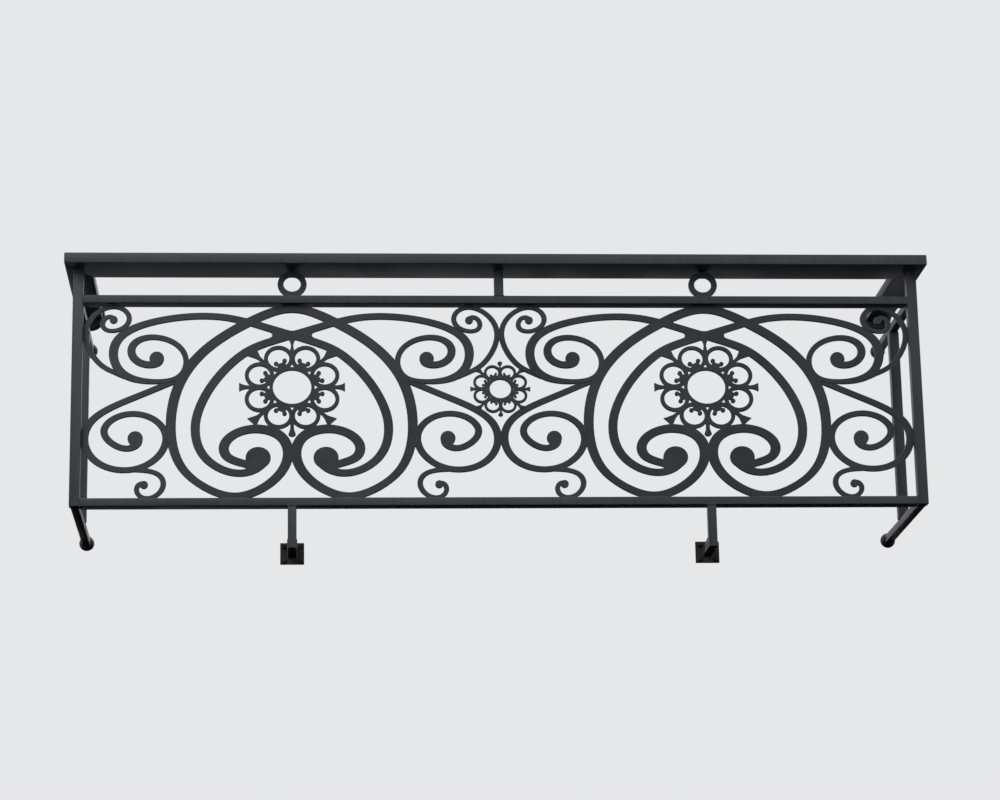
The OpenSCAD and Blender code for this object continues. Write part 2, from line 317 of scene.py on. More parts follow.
@dataclass(frozen=True)
class IronPaint:
    """Semi-matt paint over iron that has stood outdoors for years.

    Attributes:
        name: The material's name.
        colour: The paint where it is darkest.
        faded: The paint where the weather has faded it.
        warm: The paint where dirt has browned it.
        roughness: Its roughness where it is darkest.
        rougher_by: What fading adds to the roughness.
        gloss: Its specular level.
        streaks: How strongly rain runs show.
        streak_shade: The brightness of a run, as a share of the paint's.
        dust: How much dust lies on tops.
        dust_matting: What dust adds to the roughness.
        specks: How strongly fine specks of dust show.
        wear: How much paint is rubbed off along the edges.
        edge_reach: How far the wear reaches from an edge.
        grain: Height of the paint's fine grain.
        unevenness: Height of the coat's slow waves.
        dust_colour: The dust.
        bare: Metal where the paint is gone.
        rust: Rust on that metal.
        clouds: Where the paint has faded.
        patches: Where dirt has browned it.
        settling: Where dust stays on tops.
        speckles: Where specks of dust stick.
        rubbing: Where the edges are worn.
        rust_spots: Where worn edges have rusted.
    """

    name: str
    colour: Colour
    faded: Colour
    warm: Colour
    roughness: float = 0.42
    rougher_by: float = 0.1
    gloss: float = 0.32
    streaks: float = 0.35
    streak_shade: float = 0.55
    dust: float = 0.45
    dust_matting: float = 0.35
    specks: float = 0.3
    wear: float = 0.5
    edge_reach: float = 0.003
    grain: float = 0.00012
    unevenness: float = 0.0006
    dust_colour: Colour = (0.2, 0.19, 0.17)
    bare: Colour = (0.16, 0.15, 0.145)
    rust: Colour = (0.11, 0.045, 0.02)
    clouds: Mottle = Mottle(3.1, 6.0, 0.36, 0.64)
    patches: Mottle = Mottle(11.0, 5.0, 0.52, 0.75, most=0.7, offset=(3.1, 0.0, 1.7))
    settling: Mottle = Mottle(14.0, 6.0, 0.3, 0.7, least=0.45, offset=(0.0, 7.0, 0.0))
    speckles: Mottle = Mottle(420.0, 2.0, 0.56, 0.8, most=0.35)
    rubbing: Mottle = Mottle(38.0, 5.0, 0.5, 0.66, offset=(1.0, 2.0, 5.0))
    rust_spots: Mottle = Mottle(90.0, 3.0, 0.5, 0.6, offset=(9.0, 0.0, 0.0))

    def material(self) -> bpy.types.Material:
        """Mixes the paint.

        Returns:
            The finished material.
        """
        shop = PaintShop(self.name)
        cloud = self.clouds.on(shop)
        paint = shop.blend(cloud, self.colour, self.faded)
        paint = shop.blend(self.patches.on(shop), paint, self.warm)
        runs = Mottle(60.0, 3.0, 0.5, 0.72, most=self.streaks, stretch=(1.0, 1.0, 0.035))
        run_colour = tuple(self.streak_shade * part for part in self.colour)
        paint = shop.blend(runs.on(shop), paint, run_colour)
        dust = shop.product(shop.facing_up(), self.settling.on(shop), self.dust)
        paint = shop.blend(dust, paint, self.dust_colour)
        paint = shop.blend(shop.product(self.speckles.on(shop), self.specks), paint, self.dust_colour)
        worn = shop.product(shop.edges(self.edge_reach), self.rubbing.on(shop), self.wear)
        paint = shop.blend(worn, paint, shop.blend(self.rust_spots.on(shop), self.bare, self.rust))
        shop.feed(shop.shader.inputs["Base Color"], paint)
        dull = shop.span(cloud, 0.0, 1.0, self.roughness, self.roughness + self.rougher_by)
        shop.feed(shop.shader.inputs["Roughness"],
                  shop.combine("ADD", dull, shop.product(dust, self.dust_matting)))
        shop.shader.inputs["Specular IOR Level"].default_value = self.gloss
        shop.relief((shop.noise(900.0, 2.0), self.grain), (shop.noise(26.0, 3.0), self.unevenness))
        return shop.material


@dataclass(frozen=True)
class RustedPaint:
    """Brown-black paint that rusts through, most of all round the bolts.

    Attributes:
        name: The material's name.
        bolt_x: How far the bolts stand sideways from the plate's middle.
        bolt_z: How far they stand above and below it.
        centre_x: The plate's middle.
        colour: The paint where it is darkest.
        film: The paint under a thin film of dirt.
        rust: The rust.
        roughness: The paint's roughness.
        rougher_by: What rust adds to it.
        bolt_reach: Where the rust round a bolt ends, from the bolt's axis.
        bolt_full: Where it is full.
        edge_reach: How far the rust reaches from an edge.
        pitting: Height of the fine pits.
        scale_height: Height of the scale under the rust.
        patches: Where the film lies.
        runs: Where rust has run down.
    """

    name: str
    bolt_x: float
    bolt_z: float
    centre_x: float
    colour: Colour = (0.013, 0.011, 0.011)
    film: Colour = (0.034, 0.029, 0.027)
    rust: Colour = (0.045, 0.026, 0.018)
    roughness: float = 0.62
    rougher_by: float = 0.25
    bolt_reach: float = 0.022
    bolt_full: float = 0.008
    edge_reach: float = 0.0025
    pitting: float = 0.0003
    scale_height: float = 0.0007
    patches: Mottle = Mottle(28.0, 6.0, 0.42, 0.66)
    runs: Mottle = Mottle(80.0, 3.0, 0.55, 0.72, most=0.5, stretch=(1.0, 1.0, 0.06))

    def near_bolts(self, shop: PaintShop) -> Socket:
        """Where a bolt is near.

        Args:
            shop: The material that is being mixed.

        Returns:
            1 at a bolt, falling to 0 at bolt_reach from its axis.
        """
        split = shop.node("ShaderNodeSeparateXYZ")
        shop.feed(split.inputs[0], shop.place)
        sideways = shop.combine("ABSOLUTE", shop.combine("SUBTRACT", split.outputs["X"], self.centre_x))
        across = shop.combine("SUBTRACT", sideways, self.bolt_x)
        along = shop.combine("SUBTRACT", shop.combine("ABSOLUTE", split.outputs["Z"]), self.bolt_z)
        squares = shop.combine("ADD", shop.product(across, across), shop.product(along, along))
        return shop.span(shop.combine("SQRT", squares), self.bolt_reach, self.bolt_full)

    def material(self) -> bpy.types.Material:
        """Mixes the finish.

        Returns:
            The finished material.
        """
        shop = PaintShop(self.name)
        paint = shop.blend(self.patches.on(shop), self.colour, self.film)
        bloom = shop.noise(75.0, 6.0, offset=(4.0, 1.0, 0.0))
        rusty = shop.product(self.near_bolts(shop), shop.span(bloom, 0.3, 0.6, 0.35, 1.0))
        spots = shop.span(bloom, 0.56, 0.7, 0.0, 0.8)
        edge = shop.product(shop.edges(self.edge_reach), shop.span(bloom, 0.4, 0.55))
        for place in (spots, self.runs.on(shop), edge):
            rusty = shop.combine("MAXIMUM", rusty, place)
        shop.feed(shop.shader.inputs["Base Color"], shop.blend(rusty, paint, self.rust))
        shop.feed(shop.shader.inputs["Roughness"],
                  shop.span(rusty, 0.0, 1.0, self.roughness, self.roughness + self.rougher_by))
        shop.relief((shop.noise(420.0, 4.0), self.pitting), (bloom, self.scale_height))
        return shop.material


def worked_copy(node: str, merge: float = 0.0006) -> bmesh.types.BMesh:
    """A merged copy of a CAD node's mesh, with its flat faces in one piece.

    Args:
        node: The node's name.
        merge: Points closer than this become one.

    Returns:
        The mesh, ready for its edges to be worked.
    """
    mesh = bmesh.new()
    mesh.from_mesh(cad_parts[node].data)
    bmesh.ops.remove_doubles(mesh, verts=mesh.verts, dist=merge)
    bmesh.ops.dissolve_limit(mesh, angle_limit=FLAT_TURN, verts=mesh.verts, edges=mesh.edges)
    return mesh


@dataclass(frozen=True)
class EdgeRounding:
    """The rounding of a mesh's sharp edges.

    A flat piece whose faces look along Y can keep its narrow tips and notches sharp, because
    rounded edges would run into each other there.

    Attributes:
        width: How far the rounding reaches from an edge.
        segments: Faces across the rounding.
        turn: Edges that turn more than this are rounded.
        spare_tips: Whether narrow tips and notches stay sharp.
        tip_turn: A tip's edge turns more than this.
        upright: The least share of a tip's edge that runs through the piece's thickness.
        spare_margin: The spared reach, as a multiple of the least that is needed.
        spare_most: The longest spared reach.
    """

    width: float
    segments: int = 2
    turn: float = SHARP_TURN
    spare_tips: bool = False
    tip_turn: float = math.radians(100.0)
    upright: float = 0.9
    spare_margin: float = 1.15
    spare_most: float = 0.06

    def tips(self, edges: Sequence[bmesh.types.BMEdge]) -> list[tuple[Vector, float]]:
        """Finds the narrow tips and notches.

        Args:
            edges: The mesh's sharp edges.

        Returns:
            The middle of each tip's edge, and how far its two sides are too near each other.
        """
        tips = []
        for edge in edges:
            start, end = (point.co for point in edge.verts)
            turn = edge.calc_face_angle()
            if abs(start.y - end.y) > self.upright * (start - end).length and turn > self.tip_turn:
                reach = self.spare_margin * self.width / math.cos(turn / 2.0)
                tips.append(((start + end) / 2.0, min(reach, self.spare_most)))
        return tips

    def work(self, mesh: bmesh.types.BMesh) -> None:
        """Rounds the edges of a mesh.

        Args:
            mesh: The mesh to work.
        """
        sharp = [edge for edge in mesh.edges
                 if len(edge.link_faces) == 2 and edge.calc_face_angle() > self.turn]
        for middle, reach in self.tips(sharp) if self.spare_tips else ():
            flat = middle.xz
            sharp = [edge for edge in sharp
                     if all((point.co.xz - flat).length > reach for point in edge.verts)]
        bmesh.ops.bevel(mesh, geom=sharp, offset=self.width, offset_type="OFFSET",
                        segments=self.segments, profile=0.5, affect="EDGES", clamp_overlap=False,
                        material=-1)


def settle(mesh: bmesh.types.BMesh, name: str, finish: bpy.types.Material, slot: Slot,
           *nodes: str) -> None:
    """Makes an object of a worked mesh, dresses it and hangs it on the railing.

    Args:
        mesh: The worked mesh, which is used up.
        name: The piece's name.
        finish: Its material.
        slot: Not used.
        nodes: CAD nodes that the piece stands for.
    """
    bmesh.ops.recalc_face_normals(mesh, faces=mesh.faces)
    for face in mesh.faces:
        face.smooth = True
    for edge in mesh.edges:
        edge.smooth = not edge.is_manifold or edge.calc_face_angle() < SHADE_TURN
    data = bpy.data.meshes.new(name)
    mesh.to_mesh(data)
    mesh.free()
    data.materials.append(finish)
    piece = bpy.data.objects.new(name, data)
    bpy.context.scene.collection.objects.link(piece)
    weighted = piece.modifiers.new("even_shading", "WEIGHTED_NORMAL")
    weighted.keep_sharp = True
    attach(piece, BODY)
    if nodes:
        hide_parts(*nodes)
    LOG.info("%s: %d faces", name, len(data.polygons))


def dress_node(node: str, finish: bpy.types.Material, width: float) -> None:
    """Keeps a straight CAD node, rounds its edges and paints it.

    Args:
        node: The node's name.
        finish: Its material.
        width: How far the rounding of its edges reaches.
    """
    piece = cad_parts[node]
    piece.data.materials.clear()
    piece.data.materials.append(finish)
    piece.data.shade_smooth()
    merged = piece.modifiers.new("merged", "WELD")
    merged.merge_threshold = 0.2 * MM
    plain = piece.modifiers.new("flat_faces", "DECIMATE")
    plain.decimate_type = "DISSOLVE"
    plain.angle_limit = FLAT_TURN
    rounding = piece.modifiers.new("rounded_edges", "BEVEL")
    rounding.width = width
    rounding.segments = 3
    rounding.limit_method = "ANGLE"
    rounding.angle_limit = SHARP_TURN
    rounding.harden_normals = True
    LOG.info("%s: kept and painted", node)


@dataclass(frozen=True)
class WeldBead:
    """A bead of weld metal along a path.

    Attributes:
        path: The points that the bead follows.
        radius: Its radius.
        ripple: How much thinner it is between two ripples, as a share of the radius.
        pitch: The length of a ripple.
        fewest_steps: The fewest steps along the shortest bead.
        wander: How much its thickness wanders, as a share of the radius.
        wander_rate: How fast it wanders, in radians a step.
        end_size: The size of its ends, as a share of the radius.
    """

    path: Sequence[Vector]
    radius: float
    ripple: float
    pitch: float = 0.0042
    fewest_steps: int = 4
    wander: float = 0.08
    wander_rate: float = 2.3
    end_size: float = 0.45

    def stations(self) -> list[Vector]:
        """Spaces points along the path at even steps of half a ripple.

        Returns:
            The points, from the path's start to its end.
        """
        lengths = [(end - start).length for start, end in zip(self.path, self.path[1:])]
        count = max(self.fewest_steps, 2 * round(sum(lengths) / self.pitch))
        step = sum(lengths) / count
        points = [self.path[0]]
        passed = 0.0
        for start, end, length in zip(self.path, self.path[1:], lengths):
            while len(points) < count and len(points) * step <= passed + length:
                points.append(start.lerp(end, (len(points) * step - passed) / length))
            passed += length
        return [*points, self.path[-1]]

    def lay(self, mesh: bmesh.types.BMesh) -> None:
        """Adds the bead to a mesh.

        Args:
            mesh: The mesh that collects the beads.
        """
        stations = self.stations()
        curve = bpy.data.curves.new("bead", "CURVE")
        curve.dimensions = "3D"
        curve.bevel_depth = self.radius
        curve.bevel_resolution = 2
        curve.use_fill_caps = True
        spline = curve.splines.new("POLY")
        spline.points.add(len(stations) - 1)
        for number, (point, place) in enumerate(zip(spline.points, stations)):
            point.co = (*place, 1.0)
            at_end = number in (0, len(stations) - 1)
            wander = self.wander * math.sin(self.wander_rate * number)
            swell = 1.0 - self.ripple * (1 - number % 2) + wander
            point.radius = self.end_size if at_end else swell
        holder = bpy.data.objects.new("bead", curve)
        laid = bpy.data.meshes.new_from_object(holder)
        mesh.from_mesh(laid)
        bpy.data.meshes.remove(laid)
        bpy.data.objects.remove(holder)
        bpy.data.curves.remove(curve)


@dataclass
class WeldSeams:
    """The weld beads of one joint or of several like ones.

    Attributes:
        name: The piece's name.
        paint: The paint over the welds.
        runs: The paths of the beads.
        radius: Their radius.
        ripple: How much thinner they are between two ripples, as a share of the radius.
        slot: The slot that the paint belongs to.
    """

    name: str
    paint: bpy.types.Material
    runs: list[Sequence[Vector]]
    radius: float = 0.0028
    ripple: float = 0.15
    slot: Slot = Slot.RAILING

    def build(self) -> None:
        """Lays every bead and makes one piece of them."""
        mesh = bmesh.new()
        for run in self.runs:
            WeldBead(run, self.radius, self.ripple).lay(mesh)
        bmesh.ops.remove_doubles(mesh, verts=mesh.verts, dist=0.01 * MM)
        settle(mesh, self.name, self.paint, self.slot)


def rim(low: Vector, high: Vector, axis: int, level: float,
        inset: float = MM) -> Iterator[tuple[Vector, Vector]]:
    """The four sides of a box's cross-section, as runs for a weld all the way round it.

    Args:
        low: The box's lowest corner.
        high: The box's highest corner.
        axis: The axis that the cross-section is square to.
        level: Where the cross-section lies on that axis.
        inset: How far the ends stop short of the corners.

    Yields:
        The start and end of each side.
    """
    first, second = [index for index in range(3) if index != axis]
    corners = []
    for along, across in ((low, low), (high, low), (high, high), (low, high)):
        corner = Vector((0.0, 0.0, 0.0))
        corner[axis] = level
        corner[first] = along[first]
        corner[second] = across[second]
        corners.append(corner)
    for start, end in zip(corners, corners[1:] + corners[:1]):
        step = (end - start).normalized() * inset
        yield start + step, end - step


def chained(edges: Sequence[bmesh.types.BMEdge]) -> Iterator[list[Vector]]:
    """Joins edges end to end.

    Args:
        edges: Edges that form open lines.

    Yields:
        The points of each line, in order.
    """
    waiting = set(edges)
    starts = [point for edge in edges for point in edge.verts
              if sum(other in waiting for other in point.link_edges) == 1]
    for point in starts:
        line = [point.co.copy()]
        while onward := [edge for edge in point.link_edges if edge in waiting]:
            waiting.remove(onward[0])
            point = onward[0].other_vert(point)
            line.append(point.co.copy())
        if len(line) > 1:
            yield line


def seams(node: str, others: Sequence[str], merge: float = 0.1 * MM, touch: float = 0.3 * MM,
          fold: float = math.radians(60.0)) -> Iterator[list[Vector]]:
    """Finds where the front and back faces of one flat piece meet its neighbours.

    Args:
        node: The flat piece's node.
        others: The nodes that it may touch.
        merge: Points closer than this become one.
        touch: An edge that lies no further than this from a neighbour touches it.
        fold: An edge between a face and a side of the piece turns more than this.

    Yields:
        The points of each line of contact.
    """
    trees = []
    for other in others:
        neighbour = worked_copy(other, merge)
        trees.append(BVHTree.FromBMesh(neighbour))
        neighbour.free()
    mesh = worked_copy(node, merge)
    touching = []
    for edge in mesh.edges:
        start, end = (point.co for point in edge.verts)
        if abs(start.y - end.y) < merge and edge.calc_face_angle(0.0) > fold:
            middle = (start + end) / 2.0
            if any(tree.find_nearest(middle, touch)[0] for tree in trees):
                touching.append(edge)
    yield from chained(touching)
    mesh.free()


@dataclass
class RailFrame:
    """The straight members: handrails, rails, posts and the spacer.

    Attributes:
        paint: Their paint.
        tube_rounding: The rounding of a tube's edges.
        handrail_rounding: The rounding of the handrail's edges.
        mitre_radius: The radius of the filler in a mitre.
        mitre_ripple: How uneven the filler is left by grinding.
        mitre_depth: How far the filler lies below the handrail's faces.
    """

    paint: bpy.types.Material
    tube_rounding: float = 0.0025
    handrail_rounding: float = 0.0035
    mitre_radius: float = 0.0026
    mitre_ripple: float = 0.03
    mitre_depth: float = 0.3 * MM

    def members(self) -> list[str]:
        """Names the rails and posts.

        Returns:
            The nodes' names.
        """
        names = ["top_rail_front", "bottom_rail_front", "frieze_spacer"]
        for side in Side:
            names += [f"{member}_{side.word}" for member in
                      ("top_rail", "bottom_rail", "corner_post", "rear_post", "support_post")]
        return names

    def build(self) -> None:
        """Paints the members and welds their joints."""
        for node in self.members():
            dress_node(node, self.paint, self.tube_rounding)
        for node in ("handrail_front", "handrail_left", "handrail_right"):
            dress_node(node, self.paint, self.handrail_rounding)
        for side in Side:
            self.weld_corner(side)
            self.weld_rear_post(side)
            self.fill_mitre(side)
        low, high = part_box("frieze_spacer")
        ends = [*rim(low, high, 2, low.z), *rim(low, high, 2, high.z)]
        WeldSeams("spacer_welds", self.paint, ends).build()

    def weld_corner(self, side: Side) -> None:
        """Welds one corner post to the handrail and to the four rails that meet it.

        Args:
            side: Which corner.
        """
        low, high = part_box(f"corner_post_{side.word}")
        runs = [*rim(low, high, 2, high.z)]
        inner_x = high.x if side is Side.LEFT else low.x
        for rail in ("top_rail", "bottom_rail"):
            front_low, front_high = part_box(f"{rail}_front")
            for z in (front_low.z, front_high.z):
                runs.append((Vector((inner_x, low.y + MM, z)), Vector((inner_x, high.y - MM, z))))
            runs.append((Vector((inner_x, high.y, front_low.z + MM)),
                         Vector((inner_x, high.y, front_high.z - MM))))
            side_low, side_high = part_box(f"{rail}_{side.word}")
            runs += rim(side_low, side_high, 1, high.y)
        WeldSeams(f"corner_welds_{side.word}", self.paint, runs).build()

    def fill_mitre(self, side: Side) -> None:
        """Fills the seam where a side handrail is mitred into the front one, flush with its faces.

        Args:
            side: Which corner.
        """
        front_low, front_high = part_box("handrail_front")
        side_low, side_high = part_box(f"handrail_{side.word}")
        out_x, in_x = (front_low.x, side_high.x) if side is Side.LEFT else (front_high.x, side_low.x)
        sink = self.mitre_radius + self.mitre_depth
        corner_x = out_x + math.copysign(sink, in_x - out_x)
        corner_y = front_low.y + sink
        bottom, top = front_low.z + sink, front_high.z - sink
        runs = [(Vector((corner_x, corner_y, z)), Vector((in_x, front_high.y, z)))
                for z in (bottom, top)]
        runs.append((Vector((corner_x, corner_y, bottom)), Vector((corner_x, corner_y, top))))
        WeldSeams(f"mitre_fill_{side.word}", self.paint, runs, self.mitre_radius,
                  self.mitre_ripple).build()

    def weld_rear_post(self, side: Side) -> None:
        """Welds one rear post between its two side rails.

        Args:
            side: Which side.
        """
        low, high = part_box(f"rear_post_{side.word}")
        rail_low, rail_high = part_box(f"top_rail_{side.word}")
        narrow_low = Vector((rail_low.x, low.y, low.z))
        narrow_high = Vector((rail_high.x, high.y, high.z))
        runs = [*rim(narrow_low, narrow_high, 2, low.z), *rim(narrow_low, narrow_high, 2, high.z)]
        WeldSeams(f"rear_post_welds_{side.word}", self.paint, runs).build()


@dataclass
class Scrollwork:
    """The flat bars: heart panels, scrolls, curls and the centre rosette.

    Attributes:
        paint: Their paint.
        rounding: The rounding of their edges.
        bead_radius: The radius of their welds.
        node_names: Their nodes, in the order in which they are welded on.
        holder_names: The straight members that they are welded to.
    """

    paint: bpy.types.Material
    rounding: EdgeRounding = EdgeRounding(0.0021, 3, spare_tips=True)
    bead_radius: float = 0.0021
    node_names: tuple[str, ...] = (
        "heart_panel_left", "heart_panel_right",
        "outer_scroll_left", "inner_scroll_left", "inner_scroll_right", "outer_scroll_right",
        "outer_curl_left", "inner_curl_left", "inner_curl_right", "outer_curl_right",
        "centre_rosette")
    holder_names: tuple[str, ...] = (
        "top_rail_front", "bottom_rail_front", "corner_post_left", "corner_post_right")

    def build(self) -> None:
        """Rounds the edges of the bars, paints them and welds them to what they touch."""
        for number, node in enumerate(self.node_names):
            mesh = worked_copy(node)
            self.rounding.work(mesh)
            settle(mesh, f"{node}_bars", self.paint, Slot.SCROLL, node)
            runs = list(seams(node, [*self.holder_names, *self.node_names[:number]]))
            LOG.info("%s: %d seams", node, len(runs))
            if runs:
                WeldSeams(f"{node}_welds", self.paint, runs, self.bead_radius,
                          slot=Slot.SCROLL).build()


@dataclass
class FriezeRings:
    """The two oval rings between the top rail and the handrail.

    Attributes:
        paint: Their paint.
        rounding: The rounding of their edges.
        bead_offset: How far the welds lie sideways from a ring's middle.
        bead_lift: How far they lie inside a ring's top and bottom.
        bead_past: How far they reach past a ring's front and back.
    """

    paint: bpy.types.Material
    rounding: EdgeRounding = EdgeRounding(0.002, 3)
    bead_offset: float = 0.0065
    bead_lift: float = 0.0009
    bead_past: float = 0.4 * MM

    def build(self) -> None:
        """Rounds the edges of the rings, paints them and welds them above and below."""
        for side in Side:
            node = f"frieze_ring_{side.word}"
            mesh = worked_copy(node)
            self.rounding.work(mesh)
            settle(mesh, f"{node}_band", self.paint, Slot.RAILING, node)
            low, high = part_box(node)
            runs = []
            for z in (low.z + self.bead_lift, high.z - self.bead_lift):
                for way in (-1, 1):
                    x = (low.x + high.x) / 2.0 + way * self.bead_offset
                    runs.append((Vector((x, low.y - self.bead_past, z)),
                                 Vector((x, high.y + self.bead_past, z))))
            WeldSeams(f"{node}_welds", self.paint, runs).build()


@dataclass
class AnchorBalls:
    """The balls at the wall ends of the side rails and handrails.

    Attributes:
        paint: Their paint.
        rounding: The rounding of the rims of their flats.
        merge: Points closer than this become one.
    """

    paint: bpy.types.Material
    rounding: EdgeRounding = EdgeRounding(0.0012, turn=math.radians(35.0))
    merge: float = 0.1 * MM

    def build(self) -> None:
        """Softens the rims of each ball's flats and paints it."""
        names = [f"wall_anchor_{level}_{side.word}" for level in ("top", "bottom") for side in Side]
        names += [f"handrail_anchor_{side.word}" for side in Side]
        for node in names:
            mesh = worked_copy(node, self.merge)
            self.rounding.work(mesh)
            settle(mesh, f"{node}_ball", self.paint, Slot.BALL, node)


@dataclass
class Supports:
    """The stubs, the fixing plates and the bolts that hold the railing to the slab.

    Attributes:
        paint: The paint of the stubs and the welds.
        bolt_dx: The bolts' spacing sideways.
        bolt_dz: The bolts' spacing upwards.
        washer_r: A washer's radius.
        washer_t: A washer's thickness.
        washer_chamfer: The chamfer of its rim.
        nut_across: A nut's width across its flats.
        nut_h: A nut's height.
        nut_chamfer: The chamfer of its rim.
        nut_turn: How far each nut is turned from the one before, in degrees.
        stud_r: A stud's radius.
        stud_out: How far a stud stands out of its nut.
        stud_chamfer: The chamfer of its end.
        stub_rounding: The rounding of a stub's edges.
        plate_rounding: The rounding of a plate's edges.
        plate_merge: Points of a plate that are closer than this become one.
    """

    paint: bpy.types.Material
    bolt_dx: float = 0.062
    bolt_dz: float = 0.056
    washer_r: float = 0.0105
    washer_t: float = 0.002
    washer_chamfer: float = 0.0005
    nut_across: float = 0.017
    nut_h: float = 0.008
    nut_chamfer: float = 0.001
    nut_turn: float = 17.0
    stud_r: float = 0.005
    stud_out: float = 0.006
    stud_chamfer: float = 0.0009
    stub_rounding: float = 0.002
    plate_rounding: EdgeRounding = EdgeRounding(0.0012)
    plate_merge: float = 0.2 * MM

    def build(self) -> None:
        """Builds both brackets."""
        for side in Side:
            dress_node(f"support_stub_{side.word}", self.paint, self.stub_rounding)
            self.bracket(side)

    def bracket(self, side: Side) -> None:
        """Works one plate, bolts it on and welds its stub and post.

        Args:
            side: Which bracket.
        """
        node = f"fixing_plate_{side.word}"
        low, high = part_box(node)
        centre_x = (low.x + high.x) / 2.0
        finish = RustedPaint(f"{node}_paint", self.bolt_dx / 2.0, self.bolt_dz / 2.0,
                             centre_x).material()
        mesh = worked_copy(node, self.plate_merge)
        self.plate_rounding.work(mesh)
        settle(mesh, f"{node}_steel", finish, Slot.PLATE, node)
        for number, (x, z) in enumerate(((-1, -1), (-1, 1), (1, -1), (1, 1)), 1):
            place = Vector((centre_x + x * self.bolt_dx / 2.0, low.y, z * self.bolt_dz / 2.0))
            self.bolt(f"plate_bolt_{side.word}_{number}", place, self.nut_turn * number, finish)
        post_low, post_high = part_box(f"support_post_{side.word}")
        stub_low, stub_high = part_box(f"support_stub_{side.word}")
        runs = [*rim(post_low, post_high, 2, post_high.z)]
        runs += rim(stub_low, stub_high, 1, low.y)
        runs += rim(stub_low, stub_high, 1, post_high.y)
        WeldSeams(f"support_welds_{side.word}", self.paint, runs).build()

    def bolt(self, name: str, place: Vector, turn: float, finish: bpy.types.Material) -> None:
        """Makes a washer, a nut and the end of its stud.

        Args:
            name: The piece's name.
            place: Where the bolt's axis leaves the plate.
            turn: The nut's turn, in degrees.
            finish: The bolt's material.
        """
        mesh = bmesh.new()
        nut_r = self.nut_across / math.sqrt(3.0)
        self.disc(mesh, place, 0.0, self.washer_t, self.washer_r, 32, 0.0, self.washer_chamfer)
        self.disc(mesh, place, self.washer_t, self.nut_h, nut_r, 6, turn, self.nut_chamfer)
        self.disc(mesh, place, self.washer_t + self.nut_h, self.stud_out, self.stud_r, 24, 0.0,
                  self.stud_chamfer)
        settle(mesh, name, finish, Slot.PLATE)

    def disc(self, mesh: bmesh.types.BMesh, place: Vector, start: float, height: float, radius: float,
             sides: int, turn: float, chamfer: float) -> None:
        """Adds a round or many-sided disc that stands out from the plate.

        Args:
            mesh: The bolt's mesh.
            place: Where the bolt's axis leaves the plate.
            start: How far from the plate the disc begins.
            height: The disc's thickness.
            radius: Its radius, at the corners.
            sides: Its number of sides.
            turn: Its turn, in degrees.
            chamfer: How far its outer rim is cut back.
        """
        middle = place + Vector((0.0, -start - height / 2.0, 0.0))
        stand = Matrix.Translation(middle) @ Matrix.Rotation(math.radians(90.0), 4, "X")
        stand = stand @ Matrix.Rotation(math.radians(turn), 4, "Z")
        made = bmesh.ops.create_cone(mesh, cap_ends=True, segments=sides, radius1=radius, radius2=radius,
                                     depth=height, matrix=stand)
        outer = middle.y - height / 2.0 + 0.01 * MM
        rim_edges = {edge for point in made["verts"] if point.co.y < outer for edge in point.link_edges
                     if all(end.co.y < outer for end in edge.verts)}
        bmesh.ops.bevel(mesh, geom=list(rim_edges), offset=chamfer, offset_type="OFFSET", segments=2,
                        profile=0.5, affect="EDGES", clamp_overlap=True, material=-1)


@dataclass(frozen=True)
class Softbox:
    """One large, square, soft light.

    Attributes:
        name: The light's name.
        place: Where it hangs.
        power: Its power in watts.
        colour: Its colour.
        size: The side of its face.
    """

    name: str
    place: Triple
    power: float
    colour: Colour
    size: float = 6.0

    def hang(self, aim: Vector) -> None:
        """Hangs the light.

        Args:
            aim: What it points at.
        """
        data = bpy.data.lights.new(self.name, "AREA")
        data.shape = "SQUARE"
        data.size = self.size
        data.energy = self.power
        data.color = self.colour
        light = bpy.data.objects.new(self.name, data)
        place = Vector(self.place)
        turn = (aim - place).to_track_quat("-Z", "Y").to_matrix().to_4x4()
        light.matrix_world = Matrix.Translation(place) @ turn
        bpy.context.scene.collection.objects.link(light)


